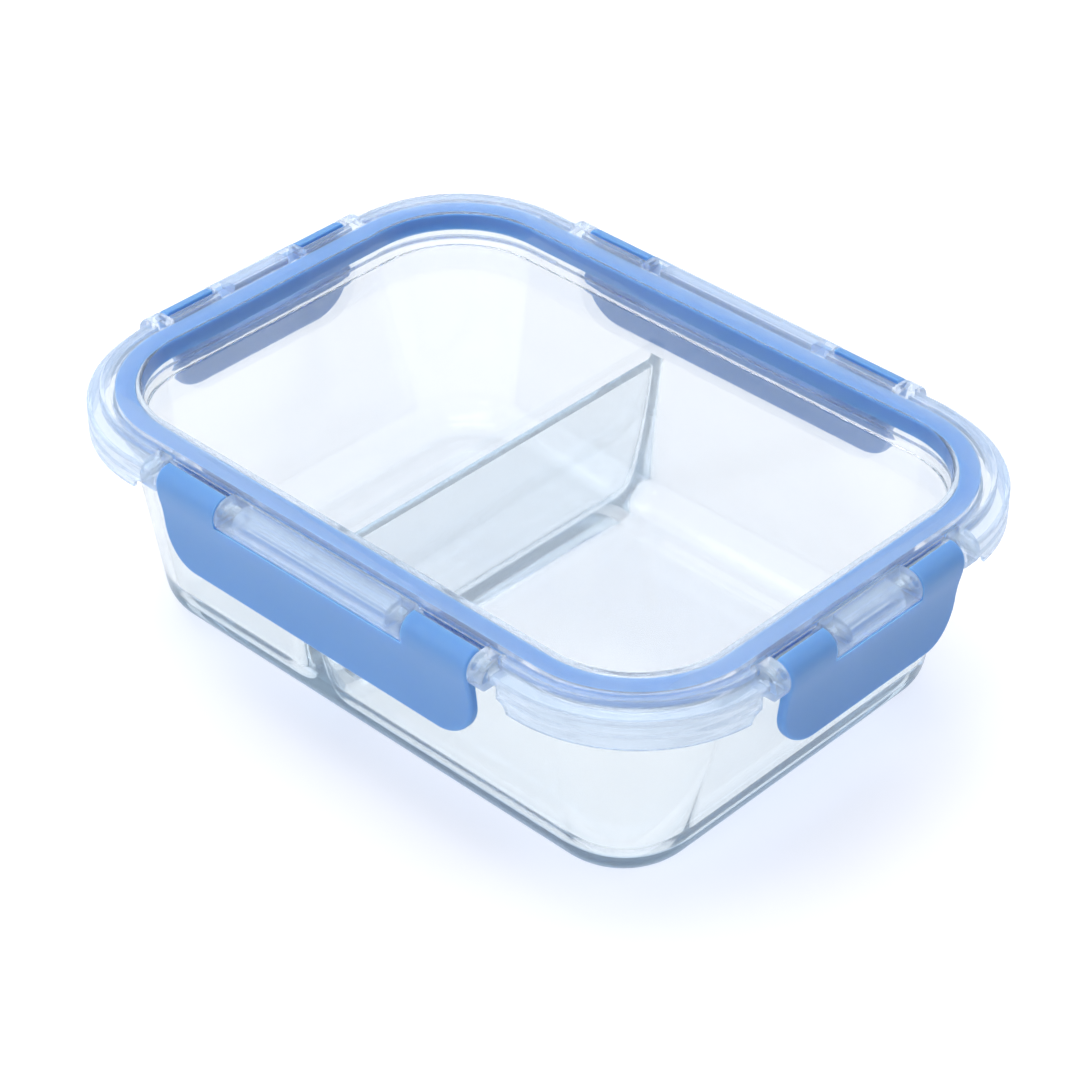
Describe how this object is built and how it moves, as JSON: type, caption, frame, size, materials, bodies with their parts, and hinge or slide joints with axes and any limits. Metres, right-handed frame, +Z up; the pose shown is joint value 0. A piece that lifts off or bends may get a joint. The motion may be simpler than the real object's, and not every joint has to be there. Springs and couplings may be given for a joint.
{
  "type": "bento lunch box",
  "caption": "Rectangular two-compartment glass lunch box with a clear snap lid, a silicone seal and blue side latches that hook under the rim.",
  "frame": {"origin": "on the ground, under the middle of the box", "axes": "+Z up, +X along the long side towards the larger compartment, +Y towards the back long side"},
  "size_m": [0.2272, 0.1672, 0.07],
  "materials": {
    "glass": "clear pressed glass",
    "clear_plastic": "clear, glossy",
    "silicone": "satin",
    "latch_plastic": "satin"
  },
  "bodies": {
    "glass": {"glass_base": "glass"},
    "lid": {"lid": "clear_plastic", "seal": "silicone"},
    "latch_front": {"latch_front": "latch_plastic"},
    "latch_back": {"latch_back": "latch_plastic"},
    "latch_left": {"latch_left": "latch_plastic"},
    "latch_right": {"latch_right": "latch_plastic"}
  },
  "joints": [
    {"name": "lid_lift", "type": "slide", "parent": "glass", "child": "lid", "axis": [0, 0, 1], "range_m": [0, 0.08]},
    {"name": "latch_front_hinge", "type": "hinge", "parent": "lid", "child": "latch_front", "pos_m": [0, -0.07995, 0.0655], "axis": [-1, 0, 0], "range_deg": [0, 110]},
    {"name": "latch_back_hinge", "type": "hinge", "parent": "lid", "child": "latch_back", "pos_m": [0, 0.07995, 0.0655], "axis": [1, 0, 0], "range_deg": [0, 110]},
    {"name": "latch_left_hinge", "type": "hinge", "parent": "lid", "child": "latch_left", "pos_m": [-0.10995, 0, 0.0655], "axis": [0, 1, 0], "range_deg": [0, 110]},
    {"name": "latch_right_hinge", "type": "hinge", "parent": "lid", "child": "latch_right", "pos_m": [0.10995, 0, 0.0655], "axis": [0, -1, 0], "range_deg": [0, 110]}
  ]
}
